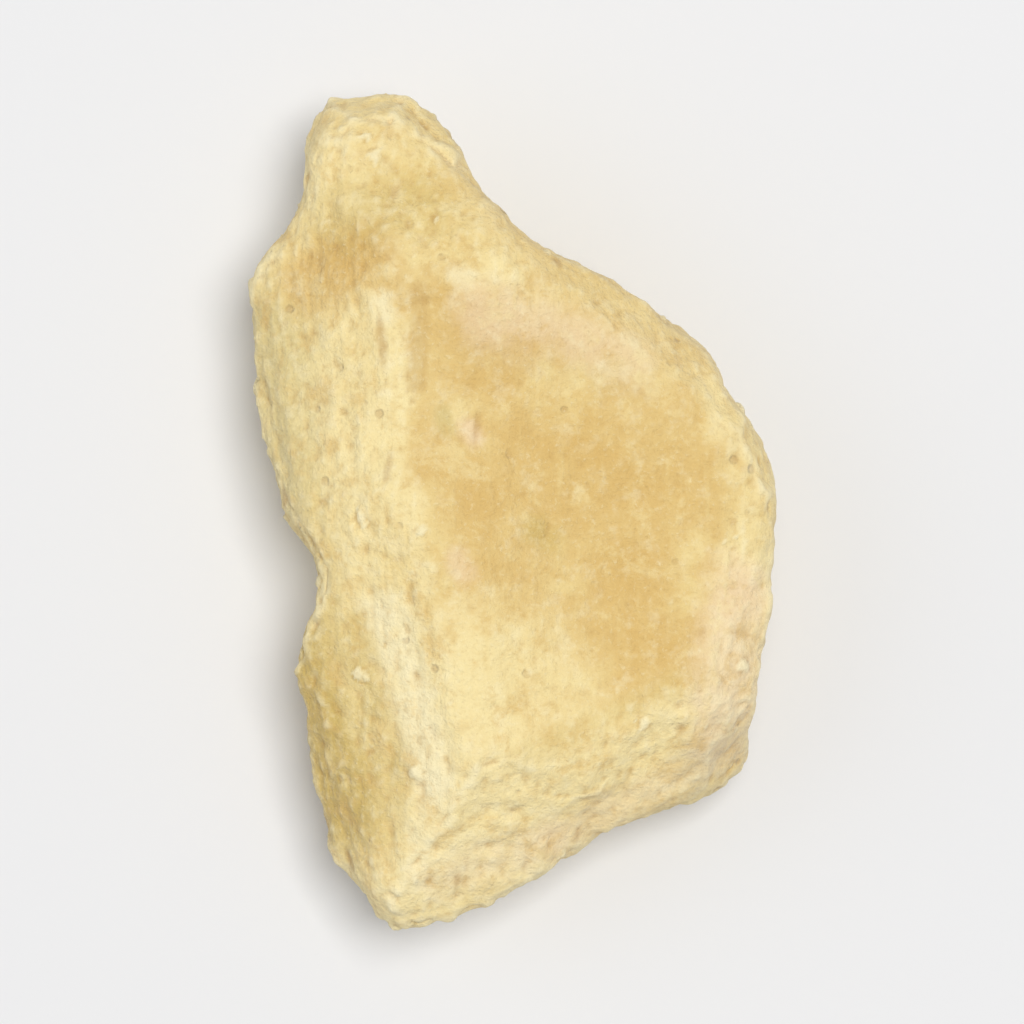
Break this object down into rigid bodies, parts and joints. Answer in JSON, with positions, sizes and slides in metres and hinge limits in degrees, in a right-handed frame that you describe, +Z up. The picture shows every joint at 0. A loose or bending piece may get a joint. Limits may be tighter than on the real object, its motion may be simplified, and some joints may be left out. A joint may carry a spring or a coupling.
{
  "type": "cut orris root chip",
  "caption": "Chunky cream chip of dried, peeled orris root with a tan upper face, pale chopped bevels, a narrow neck and a flat split underside.",
  "frame": {"origin": "middle of the chip's box, on the surface that it rests on", "axes": "+Y along the chip's length towards its narrow neck, +X across its width towards the round side, +Z up from the split underside"},
  "size_m": [0.0064, 0.01, 0.0032],
  "materials": {
    "root_flesh": "chalky matte, dry"
  },
  "bodies": {
    "root": {"root_chip": "root_flesh"}
  },
  "joints": []
}
